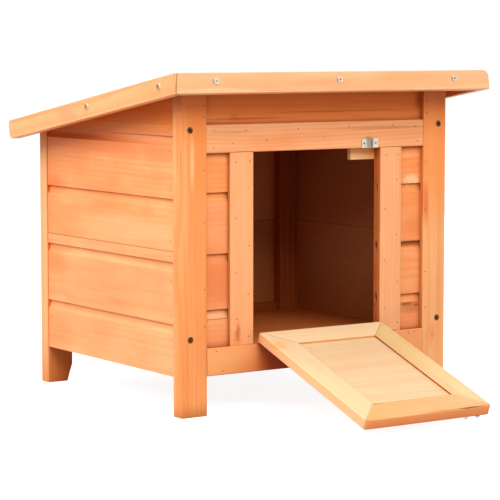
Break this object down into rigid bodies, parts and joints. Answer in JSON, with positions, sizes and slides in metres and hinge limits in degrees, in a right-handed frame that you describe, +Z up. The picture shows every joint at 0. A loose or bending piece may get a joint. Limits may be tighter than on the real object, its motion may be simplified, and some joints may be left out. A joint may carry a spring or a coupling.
{
  "type": "rabbit hutch",
  "caption": "Small pine rabbit house with grooved board walls, a felted lean-to roof with fascias and a mitred drop-down door that serves as a ramp.",
  "frame": {"origin": "on the ground, at the middle of the space that the house takes up with its ramp down", "axes": "+X to the right seen from the front, +Y from the doorway towards the back wall, +Z up"},
  "size_m": [0.5032, 0.6274, 0.4379],
  "materials": {
    "wall_pine": "pine boards, warm honey stain, satin",
    "trim_pine": "planed pine battens, warm honey stain, satin",
    "inner_pine": "sawn pine, thin stain, matt",
    "pale_pine": "planed pine, pale clear stain, satin",
    "mineral_felt": "bitumen roofing felt with green-grey mineral grains, matt",
    "zinc_steel": "zinc-plated steel, satin"
  },
  "bodies": {
    "house": {"front_left_post": "trim_pine", "front_right_post": "trim_pine", "rear_left_leg": "wall_pine", "rear_right_leg": "wall_pine", "front_left_batten": "inner_pine", "front_right_batten": "inner_pine", "rear_left_batten": "inner_pine", "rear_right_batten": "inner_pine", "left_board_lower": "wall_pine", "left_board_middle": "wall_pine", "left_board_upper": "wall_pine", "right_board_lower": "wall_pine", "right_board_middle": "wall_pine", "right_board_upper": "wall_pine", "rear_board_lower": "wall_pine", "rear_board_upper": "wall_pine", "front_board_lower": "wall_pine", "front_board_left": "wall_pine", "front_board_right": "wall_pine", "front_board_upper": "wall_pine", "bottom_rail": "trim_pine", "header": "trim_pine", "left_stile": "trim_pine", "right_stile": "trim_pine", "stop_block": "pale_pine", "floor_panel": "inner_pine", "front_bearer": "inner_pine", "rear_bearer": "inner_pine", "left_bearer": "inner_pine", "right_bearer": "inner_pine", "rear_floor_strip": "inner_pine", "roof_board_front": "inner_pine", "roof_board_middle": "inner_pine", "roof_board_rear": "inner_pine", "roof_felt": "mineral_felt", "front_fascia": "trim_pine", "left_fascia": "trim_pine", "right_fascia": "trim_pine", "cup_washers": "zinc_steel", "fascia_screws": "zinc_steel", "roof_screws": "zinc_steel", "post_screws": "zinc_steel", "rail_hinge_leaves": "zinc_steel", "hinge_pins": "zinc_steel", "rail_hinge_screws": "zinc_steel", "keeper": "zinc_steel", "keeper_screws": "zinc_steel"},
    "door": {"door_left_stile": "pale_pine", "door_right_stile": "pale_pine", "door_bottom_rail": "pale_pine", "door_top_rail": "pale_pine", "door_panel": "pale_pine", "door_hinge_leaves": "zinc_steel", "door_hinge_screws": "zinc_steel", "bolt_plate": "zinc_steel", "bolt_plate_screws": "zinc_steel"},
    "bolt": {"bolt_rod": "zinc_steel"}
  },
  "joints": [
    {"name": "door_hinge", "type": "hinge", "parent": "house", "child": "door", "pos_m": [0, -0.0787, 0.0882], "axis": [-1, 0, 0], "range_deg": [0, 109.52]},
    {"name": "bolt_slide", "type": "slide", "parent": "door", "child": "bolt", "axis": [0, -0.9425, -0.3341], "range_m": [0, 0.012]}
  ]
}
